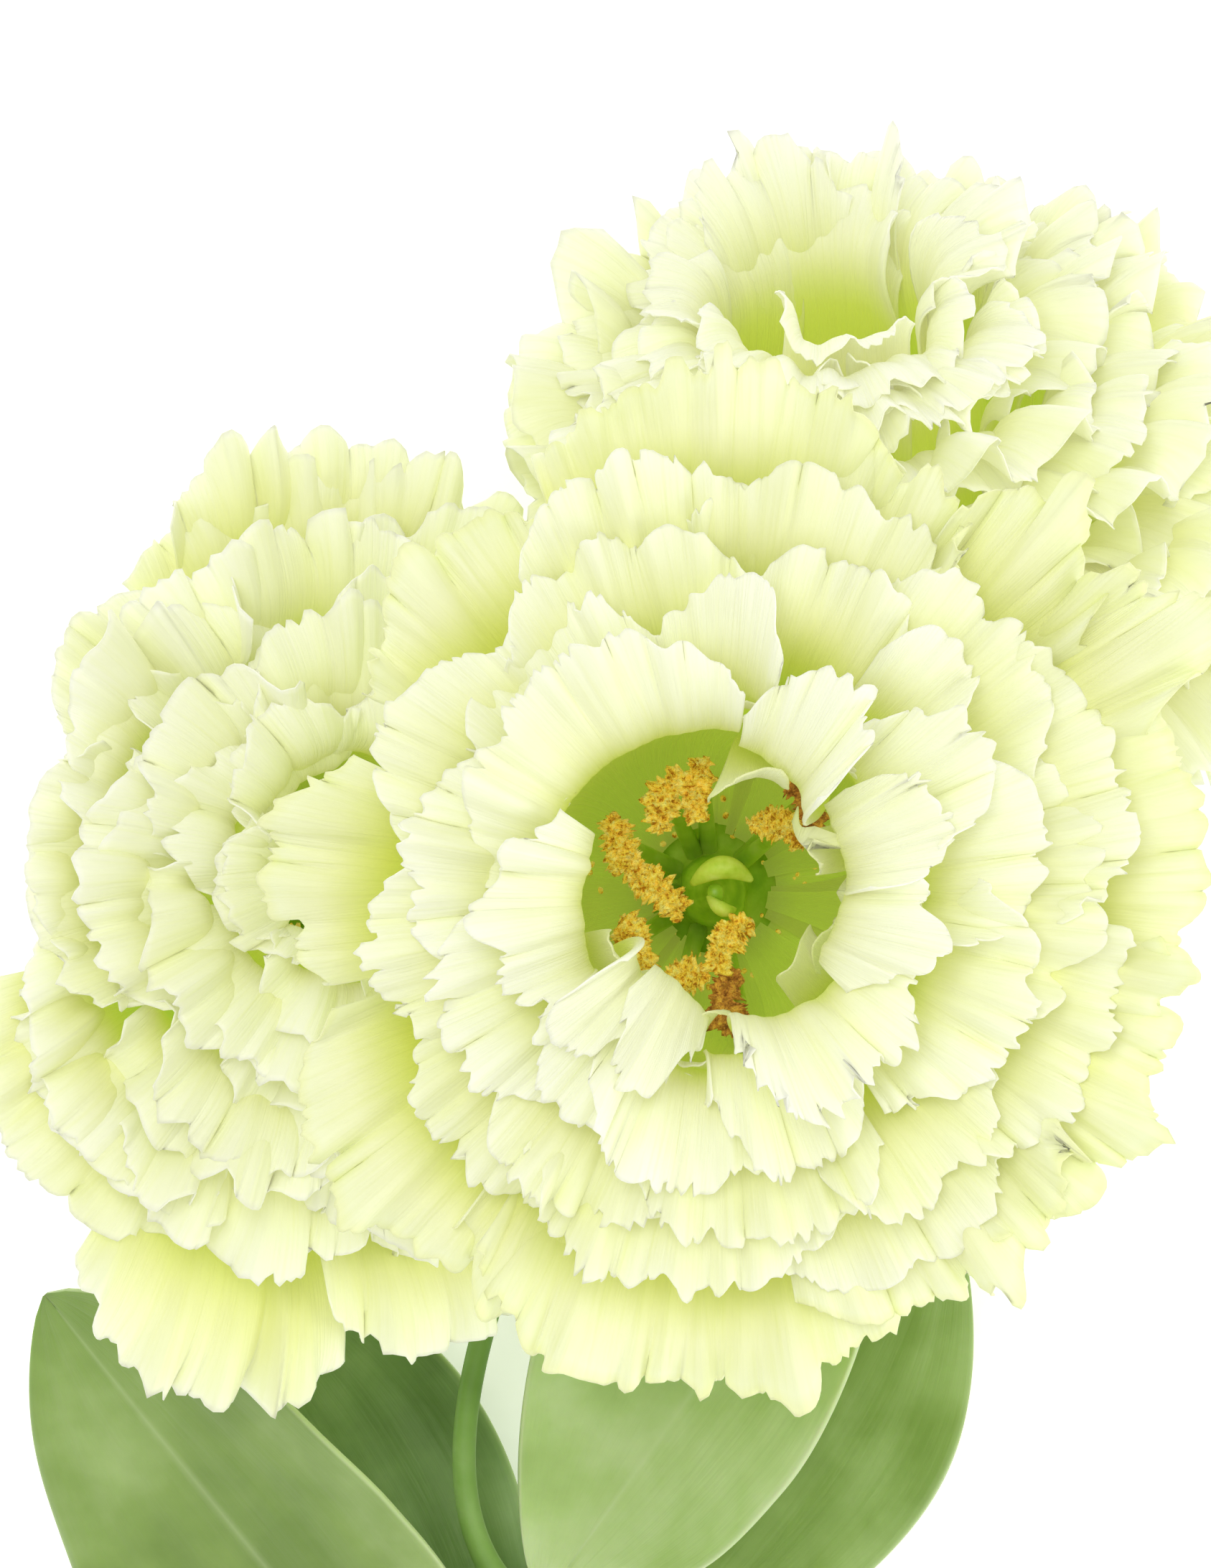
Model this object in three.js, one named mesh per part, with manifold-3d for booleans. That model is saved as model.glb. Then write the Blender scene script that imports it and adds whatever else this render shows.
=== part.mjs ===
// Cut lisianthus: one florist's stem that branches into three fringed double blooms, laid down on a flat
// surface. Millimetres, +Z up. The stem runs along Y with its cut end at -Y, and the tallest bloom faces
// straight up.
import * as THREE from "three";
import { mergeVertices } from "three/addons/utils/BufferGeometryUtils.js";
import Module from "manifold-3d";

// Bloom
const bloomRadius = 39; // receptacle axis to the tips of the outermost petals
const bloomHeight = 36; // receptacle to the crest of the innermost petals
const throatRadius = 12; // open throat, at its narrowest
const tubeRadius = 5; // innermost petal bases
const tubeWall = 2.5; // innermost to outermost petal bases
const petalThickness = 0.5;

// Heart of a bloom
const ovaryRadius = 2.6;
const ovaryHeight = 9;
const styleRadius = 0.7;
const stigmaRadius = 1.8;
const filamentRadius = 0.4;
const antherHeight = 15; // receptacle to the anthers
const antherLength = 0.4 * throatRadius;
const antherRadius = 0.23 * antherLength;

// Calyx, below the petals
const calyxDepth = 8;
const sepalWidth = 3.4;
const sepalThickness = 0.5;
const sepalReach = 0.34; // share of the outermost petal that a sepal runs along

// Stalks
const stemLength = 225; // cut end to the fork
const stemRadius = 2.4;
const forkHeight = 17; // centre of the stem above the surface, at the fork
const leftFork = 0.82; // share of the stem's length at which the left pedicel leaves it
const pedicelRadius = 1.4;

// Leaves
const leafLength = 54;
const leafWidth = 31;
const leafThickness = 0.5;

const gap = 0.3; // clearance between pieces that grow out of one another

const colours = {
  outer_petal: 0xdfe88c,
  middle_petal: 0xe6eeaa,
  inner_petal: 0xf0f4cc,
  ovary: 0x6f9a2c,
  stamen: 0xe0a526,
  calyx: 0x8fb560,
  stalk: 0x7ea24e,
  leaf: 0x86ab55,
};

const degrees = THREE.MathUtils.degToRad;
const mix = THREE.MathUtils.lerp;
const ease = (x) => THREE.MathUtils.smoothstep(x, 0, 1);
const vector = (x, y, z) => new THREE.Vector3(x, y, z);

const root = new THREE.Group();

function addPiece(parent, name, geometry, kind) {
  const material = new THREE.MeshStandardMaterial({
    color: colours[kind],
    roughness: 0.6,
    metalness: 0,
    side: THREE.DoubleSide,
  });
  const mesh = new THREE.Mesh(geometry, material);
  mesh.name = name;
  parent.add(mesh);
  return mesh;
}

// A closed thin solid around the surface point(u, v), with u from -1 to 1 across and v from 0 to 1 along.
function sheetSolid(point, thickness, across, along) {
  const step = 1e-3;
  const rows = along + 1;
  const columns = across + 1;
  const upper = [];
  const lower = [];
  for (let j = 0; j < rows; j++)
    for (let i = 0; i < columns; i++) {
      const u = (2 * i) / across - 1;
      const v = j / along;
      const middle = point(u, v);
      const alongU = point(u + step, v).sub(point(u - step, v));
      const alongV = point(u, v + step).sub(point(u, v - step));
      const normal = alongU.cross(alongV).normalize().multiplyScalar(thickness / 2);
      upper.push(middle.clone().add(normal));
      lower.push(middle.clone().sub(normal));
    }
  const index = [];
  const quad = (a, b, c, d) => index.push(a, b, c, a, c, d);
  const top = (i, j) => j * columns + i;
  const under = (i, j) => rows * columns + j * columns + i;
  for (let j = 0; j < along; j++)
    for (let i = 0; i < across; i++) {
      quad(top(i, j), top(i + 1, j), top(i + 1, j + 1), top(i, j + 1));
      quad(under(i, j), under(i, j + 1), under(i + 1, j + 1), under(i + 1, j));
    }
  for (let i = 0; i < across; i++) {
    quad(top(i, 0), under(i, 0), under(i + 1, 0), top(i + 1, 0));
    quad(top(i, along), top(i + 1, along), under(i + 1, along), under(i, along));
  }
  for (let j = 0; j < along; j++) {
    quad(top(0, j), top(0, j + 1), under(0, j + 1), under(0, j));
    quad(top(across, j), under(across, j), under(across, j + 1), top(across, j + 1));
  }
  return closedGeometry([...upper, ...lower], index);
}

// A closed solid swept along a curve, with a round section of radius(share of the way along).
function stalkSolid(curve, radius, sides, steps) {
  const frames = curve.computeFrenetFrames(steps, false);
  const points = [];
  for (let j = 0; j <= steps; j++) {
    const centre = curve.getPointAt(j / steps);
    for (let i = 0; i < sides; i++) {
      const angle = (2 * Math.PI * i) / sides;
      const away = frames.normals[j]
        .clone()
        .multiplyScalar(Math.cos(angle))
        .addScaledVector(frames.binormals[j], Math.sin(angle));
      points.push(centre.clone().addScaledVector(away, radius(j / steps)));
    }
  }
  const foot = points.push(curve.getPointAt(0)) - 1;
  const tip = points.push(curve.getPointAt(1)) - 1;
  const index = [];
  for (let i = 0; i < sides; i++) {
    const next = (i + 1) % sides;
    for (let j = 0; j < steps; j++) {
      const low = j * sides;
      const high = low + sides;
      index.push(low + i, low + next, high + next, low + i, high + next, high + i);
    }
    index.push(foot, next, i);
    index.push(tip, steps * sides + i, steps * sides + next);
  }
  return closedGeometry(points, index);
}

function closedGeometry(points, index) {
  const geometry = new THREE.BufferGeometry().setFromPoints(points);
  geometry.setIndex(index);
  geometry.computeVertexNormals();
  return geometry;
}

// Manifold-3d joins pieces that grow as one.
const wasm = await Module();
wasm.setup();

function toSolid(geometry) {
  const bare = geometry.clone();
  bare.deleteAttribute("normal");
  bare.deleteAttribute("uv");
  const merged = mergeVertices(bare, 1e-4);
  return new wasm.Manifold(
    new wasm.Mesh({
      numProp: 3,
      vertProperties: merged.attributes.position.array,
      triVerts: new Uint32Array(merged.index.array),
    }),
  );
}

function joined(geometries) {
  const solid = geometries.map(toSolid).reduce((whole, piece) => whole.add(piece));
  const mesh = solid.getMesh();
  const geometry = new THREE.BufferGeometry();
  geometry.setAttribute("position", new THREE.BufferAttribute(mesh.vertProperties, 3));
  geometry.setIndex(new THREE.BufferAttribute(mesh.triVerts, 1));
  geometry.computeVertexNormals();
  return geometry;
}

// The petals of a bloom lie on nested bowls. A bowl's section is a cubic curve whose four corners slide
// from the innermost bowl (layer 0) to the outermost (layer 1), so no two bowls touch. Values are
// [radius, height].
const innerSection = [
  [tubeRadius, 1.6],
  [1.45 * throatRadius, 0.22 * bloomHeight],
  [0.6 * throatRadius, 1.04 * bloomHeight],
  [0.55 * bloomRadius, 0.97 * bloomHeight],
];
const outerSection = [
  [tubeRadius + tubeWall, -0.4],
  [0.58 * bloomRadius, 0.04 * bloomHeight],
  [0.88 * bloomRadius, 0.84 * bloomHeight],
  [bloomRadius, 0.4 * bloomHeight],
];

function bowlPoint(layer, along, angle) {
  const rest = 1 - along;
  const weights = [rest ** 3, 3 * rest ** 2 * along, 3 * rest * along ** 2, along ** 3];
  let radius = 0;
  let height = 0;
  weights.forEach((weight, k) => {
    radius += weight * mix(innerSection[k][0], outerSection[k][0], layer);
    height += weight * mix(innerSection[k][1], outerSection[k][1], layer);
  });
  return vector(radius * Math.cos(angle), radius * Math.sin(angle), height);
}

// A whorl's petals overlap like a pinwheel: one edge of each lies a little inside its neighbour's.
const petalTwist = 0.085; // layers from a petal's middle to its edge
const petalRounding = 0.2; // how much shorter a petal is at its edges than in its middle
const footShare = 0.36; // half width of a petal at its base, as a share of the whorl's pitch
const spreadShare = 0.62; // the same where it is widest

function petalGeometry(layer, angle, pitch, reach) {
  const point = (u, v) => {
    const along = v * reach * (1 - petalRounding * Math.abs(u) ** 2.4);
    const half = pitch * mix(footShare, spreadShare, ease(v));
    return bowlPoint(layer + petalTwist * u * v, along, angle + half * u);
  };
  return sheetSolid(point, petalThickness, 6, 6);
}

// A pistil: a plump ovary, a short style and a round stigma, turned on one axis.
function pistilGeometry() {
  const neck = ovaryHeight + 4;
  const outline = [
    [0, gap],
    [0.75 * ovaryRadius, gap],
    [ovaryRadius, 0.35 * ovaryHeight],
    [0.8 * ovaryRadius, 0.75 * ovaryHeight],
    [styleRadius, ovaryHeight],
    [styleRadius, neck],
    [stigmaRadius, neck + 0.7],
    [0.8 * stigmaRadius, neck + 1.9],
    [0, neck + 2.3],
  ].map(([radius, height]) => new THREE.Vector2(radius, height));
  return new THREE.LatheGeometry(outline, 10).rotateX(Math.PI / 2);
}

// A stamen: a filament that leaves the receptacle beside the ovary and leans out, with its anther across
// its tip. The anther's middle lies at reach from the axis, and the anther points along heading.
const stamenFoot = (ovaryRadius + tubeRadius) / 2;
function stamenGeometry(angle, reach, heading) {
  const out = vector(Math.cos(angle), Math.sin(angle), 0);
  const along = vector(Math.cos(heading), Math.sin(heading), 0);
  const middle = out.clone().multiplyScalar(reach).setZ(antherHeight);
  const curve = new THREE.CatmullRomCurve3([
    out.clone().multiplyScalar(stamenFoot).setZ(gap + 0.6),
    out.clone().multiplyScalar(mix(stamenFoot, reach, 0.1)).setZ(0.4 * antherHeight),
    middle.clone().addScaledVector(along, -antherLength / 2).setZ(antherHeight - 2),
    middle.clone().addScaledVector(along, -antherLength / 4).setZ(antherHeight - 0.4),
    middle.clone().addScaledVector(along, antherLength / 2),
  ]);
  const start = 1 - antherLength / curve.getLength();
  const radius = (share) => {
    const within = (share - start) / (1 - start);
    if (within < 0) return filamentRadius;
    return mix(filamentRadius, antherRadius, Math.sin(Math.PI * mix(0.1, 0.9, within)));
  };
  return stalkSolid(curve, radius, 6, 8);
}

// A calyx: the swollen end of the pedicel, with narrow sepals that hug the outermost petals.
const sepalCount = 5;
const sepalLayer = 1.2; // just outside the outermost petals
const sepalStart = 0.005; // share of the petal's length at which a sepal leaves the cup
function calyxGeometry() {
  const brim = tubeRadius + tubeWall + 1.2;
  const floor = -1.3;
  const outline = [
    [0, -calyxDepth],
    [pedicelRadius, -calyxDepth],
    [0.55 * brim, -0.62 * calyxDepth],
    [brim, floor],
    [brim, floor + 0.8],
    [brim - 0.7, floor + 0.8],
    [brim - 0.9, floor],
    [0, floor],
  ].map(([radius, height]) => new THREE.Vector2(radius, height));
  const cup = new THREE.LatheGeometry(outline, 15).rotateX(Math.PI / 2);
  const sepals = [];
  for (let k = 0; k < sepalCount; k++) {
    const angle = (2 * Math.PI * k) / sepalCount + degrees(18);
    const point = (u, v) => {
      const half = (sepalWidth / 2) * (1 - 0.75 * v);
      const middle = bowlPoint(sepalLayer, mix(sepalStart, sepalReach, v), angle);
      const keel = 0.5 * (1 - Math.abs(u)) * (1 - 0.8 * v);
      const side = vector(-Math.sin(angle), Math.cos(angle), 0);
      const out = vector(Math.cos(angle), Math.sin(angle), 0);
      return middle.addScaledVector(side, half * u).addScaledVector(out, keel);
    };
    sepals.push(sheetSolid(point, sepalThickness, 2, 5));
  }
  return joined([cup, ...sepals]);
}

// One bloom in its own group: origin on the receptacle, +Z out through the throat.
function addBloom(name, plan) {
  const bloom = new THREE.Group();
  for (const [whorl, { layer, count, turn, reaches }] of Object.entries(plan.whorls)) {
    const pitch = (2 * Math.PI) / count;
    for (let k = 0; k < count; k++) {
      const angle = degrees(turn) + pitch * k;
      const geometry = petalGeometry(layer, angle, pitch, reaches[k]);
      addPiece(bloom, `${name}_${whorl}_petal_${k + 1}`, geometry, `${whorl}_petal`);
    }
  }
  addPiece(bloom, `${name}_pistil`, pistilGeometry(), "ovary");
  addPiece(bloom, `${name}_calyx`, calyxGeometry(), "calyx");
  plan.stamens.forEach(([angle, reach, heading], k) => {
    const geometry = stamenGeometry(degrees(angle), reach * throatRadius, degrees(heading));
    addPiece(bloom, `${name}_stamen_${k + 1}`, geometry, "stamen");
  });
  const axis = vector(...plan.axis).normalize();
  const right = vector(1, 0, 0).addScaledVector(axis, -axis.x).normalize();
  const up = axis.clone().cross(right);
  bloom.matrix.makeBasis(right, up, axis).setPosition(...plan.place);
  bloom.matrix.decompose(bloom.position, bloom.quaternion, bloom.scale);
  if (plan.rests) bloom.position.z -= new THREE.Box3().setFromObject(bloom, true).min.z;
  root.add(bloom);
  return bloom;
}

// Places are the receptacles', over the surface, with the upright bloom above the origin. A whorl's first
// petal grows at turn degrees, and reaches are the petals' shares of the full length. A stamen is [angle,
// reach as a share of the throat, heading]. Petals pressed under another bloom are short. A bloom that rests
// is let down until its lowest petal touches the surface, and the front one lies over the other two.
const frontHeight = Math.max(1.06 * bloomRadius + 0.1 * bloomHeight, 1.2 * bloomHeight);
const blooms = {
  front: {
    place: [0, 0, frontHeight],
    axis: [0, 0, 1],
    whorls: {
      outer: { layer: 0.94, count: 8, turn: 1, reaches: [0.94, 0.9, 0.98, 0.92, 0.9, 0.93, 0.95, 0.92] },
      middle: { layer: 0.52, count: 6, turn: 20, reaches: [1, 0.97, 1, 0.97, 1, 1] },
      inner: { layer: 0.08, count: 5, turn: 52, reaches: [1, 1, 0.97, 0.96, 1] },
    },
    stamens: [
      [96, 0.66, 80],
      [120, 0.7, 65],
      [152, 0.66, 115],
      [184, 0.42, -38],
      [211, 0.68, -75],
      [250, 0.64, 10],
      [288, 0.38, 52],
      [44, 0.56, -22],
    ],
  },
  left: {
    place: [-0.96 * bloomRadius, -0.02 * bloomRadius, 0.5 * bloomHeight],
    axis: [0.3, 0.1, 0.95],
    whorls: {
      outer: { layer: 0.9, count: 5, turn: 30, reaches: [0.5, 0.8, 0.62, 1, 0.5] },
      inner: { layer: 0.3, count: 3, turn: 90, reaches: [0.8, 0.9, 0.7] },
    },
    stamens: [],
  },
  back: {
    place: [0.32 * bloomRadius, 0.58 * bloomRadius, 0],
    rests: true,
    axis: [-0.1, 0.72, 0.68],
    whorls: {
      outer: { layer: 0.9, count: 5, turn: 36, reaches: [0.98, 0.98, 0.62, 0.42, 0.9] },
      inner: { layer: 0.3, count: 3, turn: 90, reaches: [0.96, 0.9, 0.9] },
    },
    stamens: [],
  },
};
const heads = {};
for (const [name, plan] of Object.entries(blooms)) heads[name] = addBloom(name, plan);

// Stalks. The stem rests on its cut end and rises to the fork, where a pedicel leaves for each bloom.
const fork = vector(-14, -1.5 * bloomRadius, forkHeight);
const cutEnd = vector(-4, fork.y - stemLength, stemRadius);
const stemCurve = new THREE.CatmullRomCurve3([
  cutEnd,
  vector(-7, mix(cutEnd.y, fork.y, 0.35), mix(stemRadius, forkHeight, 0.3)),
  vector(-12, mix(cutEnd.y, fork.y, 0.7), mix(stemRadius, forkHeight, 0.66)),
  fork,
]);
addPiece(root, "main_stem", stalkSolid(stemCurve, () => stemRadius, 10, 20), "stalk");

// A pedicel leaves its start along the first pull and enters its calyx along the bloom's axis.
function addPedicel(name, start, firstPull, lastPull) {
  const head = heads[name];
  head.updateMatrix();
  const end = vector(0, 0, -calyxDepth - gap).applyMatrix4(head.matrix);
  const axis = vector(0, 0, 1).applyQuaternion(head.quaternion);
  const curve = new THREE.CubicBezierCurve3(
    start,
    start.clone().add(firstPull),
    end.clone().addScaledVector(axis, -lastPull),
    end,
  );
  addPiece(root, `${name}_pedicel`, stalkSolid(curve, () => pedicelRadius, 8, 14), "stalk");
}
const beside = stemRadius + pedicelRadius + gap;
const frontStart = fork.clone().add(vector(-0.75 * beside, -3, 0.7 * beside));
addPedicel("front", frontStart, vector(-20, 14, 2), 24);
addPedicel("left", stemCurve.getPointAt(leftFork).add(vector(-beside, 0, 0)), vector(-8, 38, -20), 9);
addPedicel("back", fork.clone().add(vector(beside, -2, 0)), vector(6, 26, 1), 12);

// A leaf: a broad ovate blade on a curved midrib, cupped about it, that narrows to a clasping foot.
const leafFoot = 0.14; // share of the full width at the foot
const leafTip = 0.1; // and at the tip
function leafGeometry(midrib, width, cup) {
  const point = (u, v) => {
    const centre = midrib.getPoint(v);
    const along = midrib.getTangent(THREE.MathUtils.clamp(v, 0, 1));
    const side = along.clone().cross(vector(0, 0, 1)).normalize();
    const up = side.clone().cross(along);
    const full = Math.sin(Math.PI * THREE.MathUtils.clamp(v, 0, 1) ** 0.85) ** 1.2;
    const half = (width / 2) * mix(mix(leafFoot, leafTip, v), 1, full);
    return centre.addScaledVector(side, half * u).addScaledVector(up, (cup * (half * u) ** 2) / width);
  };
  return sheetSolid(point, leafThickness, 4, 8);
}

// Each leaf: how far below the fork it grows, the way from the middle of the stem to its foot, the way
// it points seen from above (degrees from +X), how far it bulges half way, how high its tip is over the
// surface, its share of the full length and its cup.
const besideStem = stemRadius + gap;
const leafPlan = {
  upper_left_leaf: { below: 25, side: -1.5, rise: -0.1, heading: 128, bulge: 2, tip: 13, share: 1.1, cup: 0.3 },
  upper_right_leaf: { below: 3, side: 0.3, rise: 1, heading: 66, bulge: 3, tip: 18, share: 0.72, cup: 1 },
  lower_left_leaf: { below: 24, side: -1, rise: -0.9, heading: 121, bulge: 0, tip: 8, share: 1, cup: 0.3 },
  lower_right_leaf: { below: 12, side: 1.2, rise: -1.3, heading: 56, bulge: -6, tip: 2, share: 0.95, cup: 0.4 },
  middle_left_leaf: { below: 92, side: -1.1, rise: 0, heading: 138, bulge: 3, tip: 0.4, share: 1, cup: 0.7 },
  middle_right_leaf: { below: 95, side: 1, rise: 0, heading: 40, bulge: 3, tip: 0.4, share: 1.1, cup: 0.7 },
  foot_leaf: { below: 160, side: -1.3, rise: 0, heading: 132, bulge: 3, tip: 0.4, share: 0.9, cup: 0.8 },
};
for (const [name, leaf] of Object.entries(leafPlan)) {
  const heading = degrees(leaf.heading);
  const out = vector(Math.cos(heading), Math.sin(heading), 0);
  const length = leafLength * leaf.share;
  const aside = leaf.side * (besideStem + (leafFoot * leafWidth) / 2);
  const foot = stemCurve.getPointAt(1 - leaf.below / stemCurve.getLength());
  foot.add(vector(aside, 0, leaf.rise * (besideStem + leafThickness)));
  const midrib = new THREE.QuadraticBezierCurve3(
    foot,
    foot.clone().addScaledVector(out, 0.5 * length).add(vector(0, 0, leaf.bulge)),
    foot.clone().addScaledVector(out, length).setZ(leaf.tip),
  );
  addPiece(root, name, leafGeometry(midrib, leafWidth * leaf.share, leaf.cup), "leaf");
}

// The part's origin is the middle of its box, on the surface that it lies on.
root.updateMatrixWorld(true);
const box = new THREE.Box3().setFromObject(root, true);
const middle = box.getCenter(vector(0, 0, 0));
root.position.set(-middle.x, -middle.y, -box.min.z);

export default root;
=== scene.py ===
import bpy
import numpy as np
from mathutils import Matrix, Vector


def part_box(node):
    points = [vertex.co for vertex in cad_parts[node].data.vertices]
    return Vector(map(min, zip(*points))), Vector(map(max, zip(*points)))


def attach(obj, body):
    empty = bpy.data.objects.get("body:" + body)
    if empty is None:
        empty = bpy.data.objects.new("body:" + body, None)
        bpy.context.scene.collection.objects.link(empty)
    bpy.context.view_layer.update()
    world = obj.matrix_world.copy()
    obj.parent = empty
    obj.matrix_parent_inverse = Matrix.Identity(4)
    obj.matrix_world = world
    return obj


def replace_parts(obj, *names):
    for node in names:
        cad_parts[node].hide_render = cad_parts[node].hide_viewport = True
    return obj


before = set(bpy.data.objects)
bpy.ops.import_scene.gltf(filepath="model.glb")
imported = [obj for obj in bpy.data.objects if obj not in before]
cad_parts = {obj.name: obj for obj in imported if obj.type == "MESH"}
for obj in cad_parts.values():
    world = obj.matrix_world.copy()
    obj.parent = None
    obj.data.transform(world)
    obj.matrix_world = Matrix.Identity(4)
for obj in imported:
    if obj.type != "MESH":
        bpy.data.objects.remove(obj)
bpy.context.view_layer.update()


# Where each bloom sits. A bloom is set on its receptacle, the green button that its petals grow out of, and
# faces along its own axis. The pistil stands on the receptacle, so its box gives the place. Petals, calyx and
# heart are worked out in the bloom's own millimetres, x to its right, y up it, z out through its throat.
def unit(vector):
    """A vector, or the last axis of an array of them, scaled to length one."""
    vector = np.asarray(vector, float)
    return vector / np.linalg.norm(vector, axis=-1, keepdims=True)


PISTIL_HEIGHT = 15.6  # mm, ovary, style and stigma


class Bloom:
    """A bloom's name, its seat and three directions in the part's frame, and the petals made for it so
    far."""

    def __init__(self, name, axis):
        """The seat is the middle of the pistil's box, less half the pistil's height along the axis."""
        low, high = (np.array(corner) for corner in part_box(name + "_pistil"))
        self.name = name
        self.axis = unit(axis)
        self.right = unit(np.array([1, 0, 0]) - self.axis[0] * self.axis)
        self.up = np.cross(self.axis, self.right)
        self.seat = (low + high) / 2 * 1000 - self.axis * PISTIL_HEIGHT / 2
        self.petals = []

    def place(self, points):
        """Bloom millimetres to the part's metres: x along right, y along up and z along the axis."""
        turned = points[..., :1] * self.right + points[..., 1:2] * self.up + points[..., 2:] * self.axis
        return (self.seat + turned) / 1000


front = Bloom("front", (0, 0, 1))
left = Bloom("left", (0.3, 0.1, 0.95))
back = Bloom("back", (-0.1, 0.72, 0.68))


# Petals. Each is a thin fan of living tissue on a narrow claw, cupped round the throat and rolled outwards
# at its free edge, which is crimped into frills and cut into a fine irregular fringe. A double bloom packs
# them in whorls on nested bowls, and each slips one edge inside its neighbour like a pinwheel.
def mix(a, b, share):
    """Straight blend from a to b."""
    return a + (b - a) * share


def ease(x):
    """0 below 0, 1 above 1, and the smooth cubic between."""
    x = np.clip(x, 0, 1)
    return x * x * (3 - 2 * x)


def linear(code):
    """An sRGB hex colour as linear red, green, blue and alpha."""
    values = np.array([int(code[k : k + 2], 16) for k in (1, 3, 5)]) / 255
    values = np.where(values <= 0.04045, values / 12.92, ((values + 0.055) / 1.055) ** 2.4)
    return (*values.tolist(), 1.0)


def surface_normals(points):
    """Unit normals of a grid of points: across-tangent crossed with along-tangent, by differences."""
    across = np.gradient(points, axis=1)
    along = np.gradient(points, axis=0)
    return unit(np.cross(across, along) + 1e-12)


def grid_faces(rows, columns, first=0):
    """Quads of a rows by columns grid of vertices numbered along each row, from first."""
    corner = first + (np.arange(rows - 1)[:, None] * columns + np.arange(columns - 1)[None, :]).ravel()
    return np.stack([corner, corner + 1, corner + columns + 1, corner + columns], axis=1)


def tissue_sheet(points, thickness):
    """A petal, sepal or leaf as a closed thin solid: the grid moved half its thickness each way along its
    normal, the lower face turned over, and a strip of quads round the rim. The chart runs 0 to 1 across and
    along."""
    rows, columns = points.shape[:2]
    shift = surface_normals(points) * thickness / 2
    vertices = np.concatenate([(points + shift).reshape(-1, 3), (points - shift).reshape(-1, 3)])
    count = rows * columns
    number = np.arange(count).reshape(rows, columns)
    rim = np.concatenate([number[0, :-1], number[:-1, -1], number[-1, :0:-1], number[:0:-1, 0]])
    after = np.roll(rim, -1)
    sides = np.stack([rim, rim + count, after + count, after], axis=1)
    faces = np.concatenate([grid_faces(rows, columns), grid_faces(rows, columns, count)[:, ::-1], sides])
    u, v = np.meshgrid(np.linspace(0, 1, columns), np.linspace(0, 1, rows))
    chart = np.stack([u.ravel(), v.ravel()], axis=1)
    return vertices, faces, np.concatenate([chart, chart])


def tissue_object(name, parts, material):
    """One mesh object from (vertices, quads, chart) parts, smooth, with the chart as its UV map. It rides the
    root body and takes the material given."""
    starts = np.cumsum([0] + [len(part[0]) for part in parts[:-1]])
    vertices = np.concatenate([part[0] for part in parts])
    faces = np.concatenate([part[1] + start for part, start in zip(parts, starts)])
    chart = np.concatenate([part[2] for part in parts])
    mesh = bpy.data.meshes.new(name)
    mesh.vertices.add(len(vertices))
    mesh.vertices.foreach_set("co", vertices.astype(np.float32).ravel())
    mesh.loops.add(faces.size)
    mesh.loops.foreach_set("vertex_index", faces.astype(np.int32).ravel())
    mesh.polygons.add(len(faces))
    mesh.polygons.foreach_set("loop_start", np.arange(len(faces), dtype=np.int32) * 4)
    mesh.polygons.foreach_set("use_smooth", np.ones(len(faces), dtype=bool))
    uv = mesh.uv_layers.new(name="chart")
    uv.data.foreach_set("uv", chart[faces.ravel()].astype(np.float32).ravel())
    mesh.materials.append(material)
    mesh.update(calc_edges=True)
    mesh.validate()
    piece = bpy.data.objects.new(name, mesh)
    bpy.context.scene.collection.objects.link(piece)
    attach(piece, "root")
    return piece


def node(material, kind, links=(), **settings):
    """Adds one shader node. A setting whose name is a socket's fills the socket, any other is an attribute,
    and each link is (socket to feed, node, output)."""
    made = material.node_tree.nodes.new(kind)
    for name, value in settings.items():
        socket = name.replace("_", " ")
        if socket in made.inputs:
            made.inputs[socket].default_value = value
        else:
            setattr(made, name, value)
    for socket, source, output in links:
        material.node_tree.links.new(made.inputs[socket], source.outputs[output])
    return made


def ramp(material, source, output, stops):
    """A colour ramp fed by one output, with its stops as (place, hex colour)."""
    made = node(material, "ShaderNodeValToRGB", [("Fac", source, output)])
    elements = made.color_ramp.elements
    while len(elements) < len(stops):
        elements.new(0.5)
    for element, (place, code) in zip(elements, stops):
        element.position = place
        element.color = linear(code)
    return made


def new_material(name):
    """A node material with no nodes yet."""
    material = bpy.data.materials.new(name)
    material.use_nodes = True
    material.node_tree.nodes.clear()
    return material


def surface(material, links, **settings):
    """Adds the Principled shader with its links and settings, and makes it the material's surface."""
    shader = node(material, "ShaderNodeBsdfPrincipled", links, **settings)
    node(material, "ShaderNodeOutputMaterial", [("Surface", shader, "BSDF")])


def tinted(material, share, amount, under, colour, tint):
    """A blend to a plain tint from the colour output of the node under, by the amount output of share."""
    links = [("Factor", share, amount), ("A", under, colour)]
    return node(material, "ShaderNodeMix", links, data_type="RGBA", B=linear(tint))
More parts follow.
